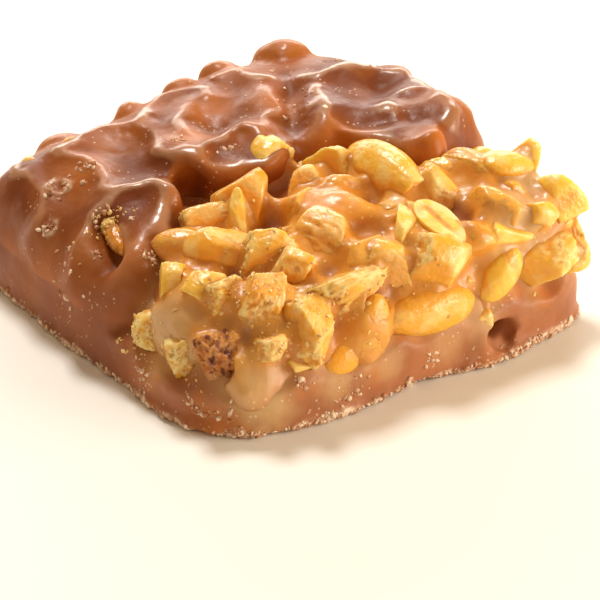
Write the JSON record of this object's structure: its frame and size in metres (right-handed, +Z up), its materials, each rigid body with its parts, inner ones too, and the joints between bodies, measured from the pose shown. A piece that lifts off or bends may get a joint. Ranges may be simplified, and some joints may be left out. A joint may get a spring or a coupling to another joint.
{
  "type": "chocolate peanut cluster",
  "caption": "Squarish block of chopped peanuts bound in caramel on a flat milk chocolate plate, its back half coated in lumpy milk chocolate and its front half bare.",
  "frame": {"origin": "middle of the flat underside of the chocolate plate", "axes": "+Z up, +X along the bare front edge, +Y from the bare front to the coated back"},
  "size_m": [0.0529, 0.0545, 0.0196],
  "materials": {
    "milk_chocolate": "satin milk chocolate",
    "peanut_caramel": "glossy caramel over golden peanuts"
  },
  "bodies": {
    "root": {"chocolate_shell": "milk_chocolate", "peanut_caramel": "peanut_caramel"}
  },
  "joints": []
}
